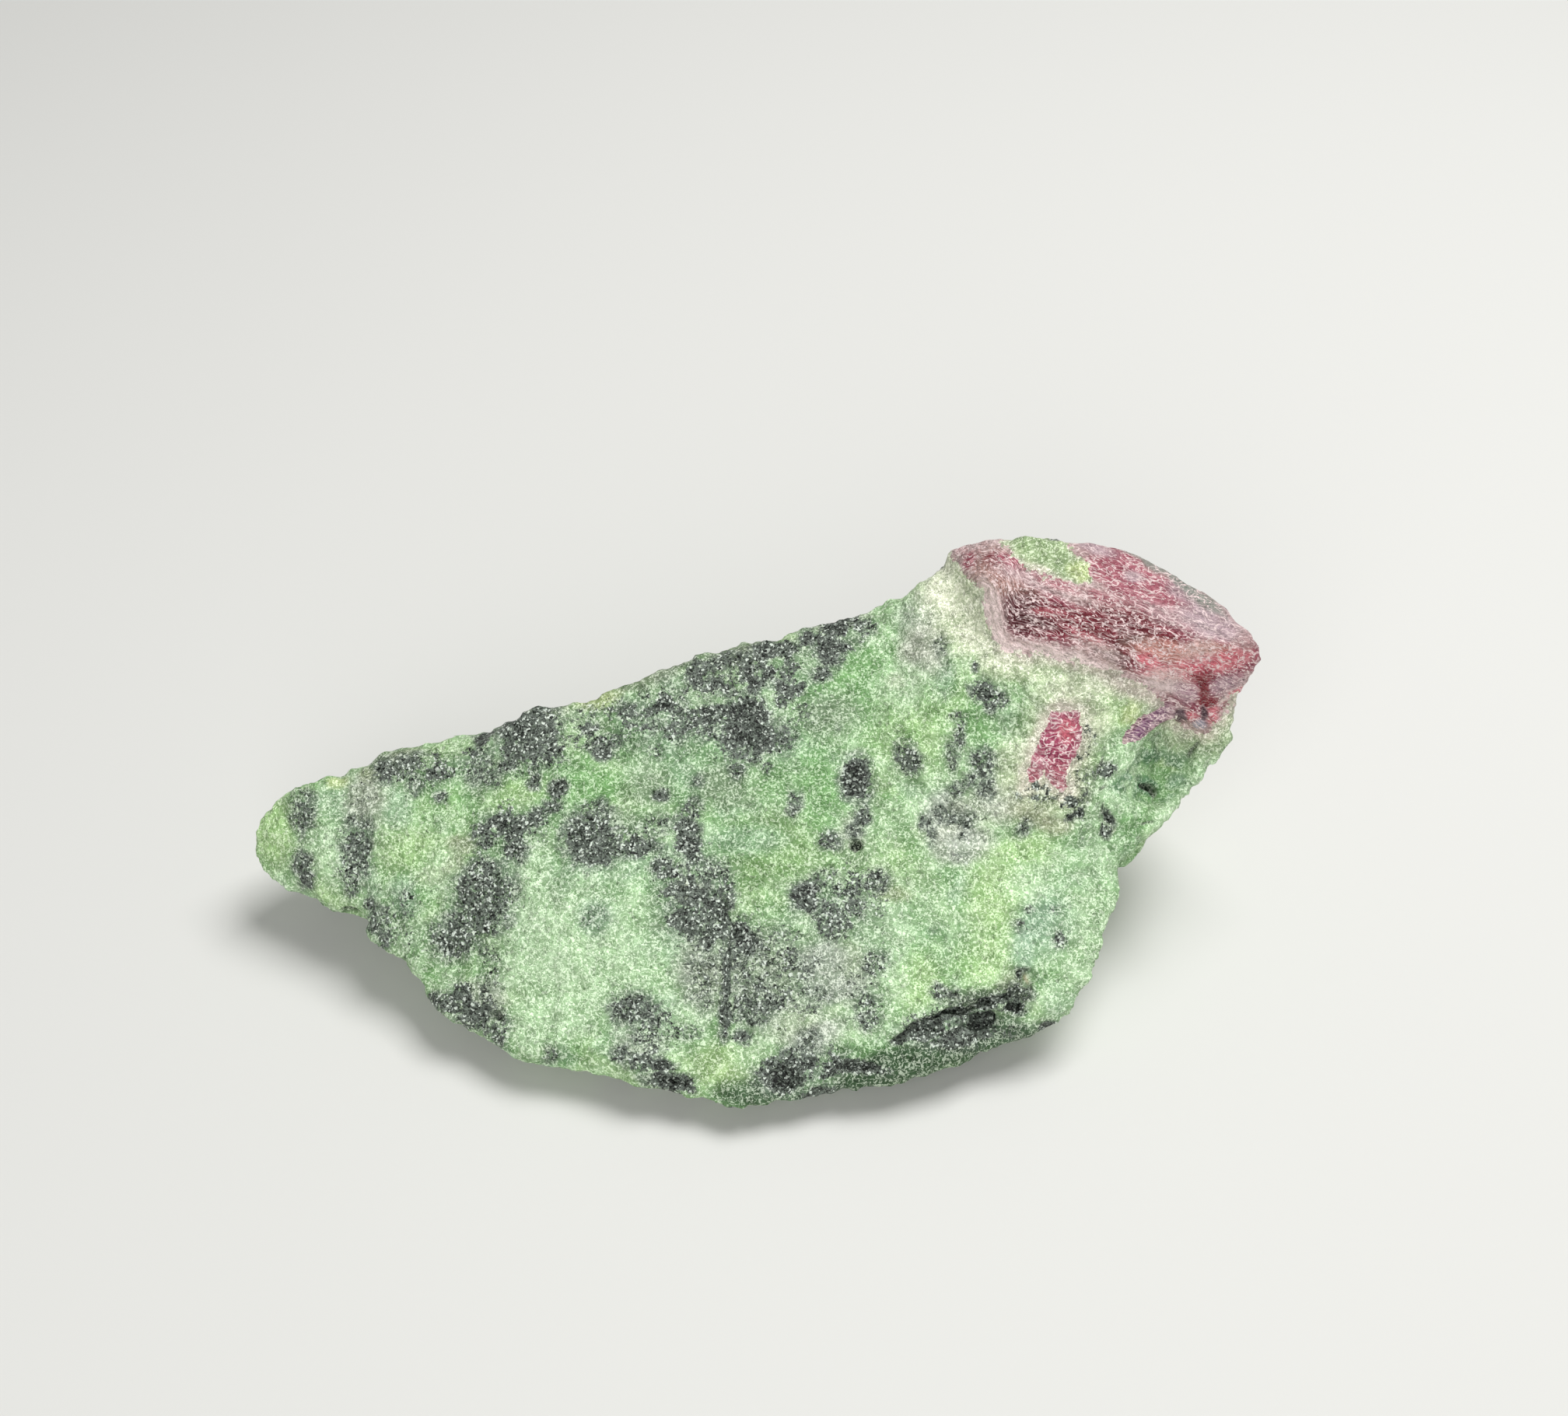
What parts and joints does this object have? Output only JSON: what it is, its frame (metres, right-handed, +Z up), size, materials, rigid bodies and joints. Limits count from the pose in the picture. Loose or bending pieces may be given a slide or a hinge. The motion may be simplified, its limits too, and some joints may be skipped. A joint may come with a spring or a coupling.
{
  "type": "rough mineral specimen",
  "caption": "Rough wedge-shaped chunk of green rock with a faceted red crystal grown into its thick end, lying on its flattest break.",
  "frame": {"origin": "under the middle of the stone, on the plane it rests on", "axes": "+X along the stone towards the ruby's point, +Y away from the broad face, +Z up"},
  "size_m": [0.0758, 0.0392, 0.028],
  "materials": {
    "ruby_in_zoisite": "matt sugary broken rock, green with black flecks, and a dull red crystal with small glints"
  },
  "bodies": {
    "root": {"stone": "ruby_in_zoisite"}
  },
  "joints": []
}
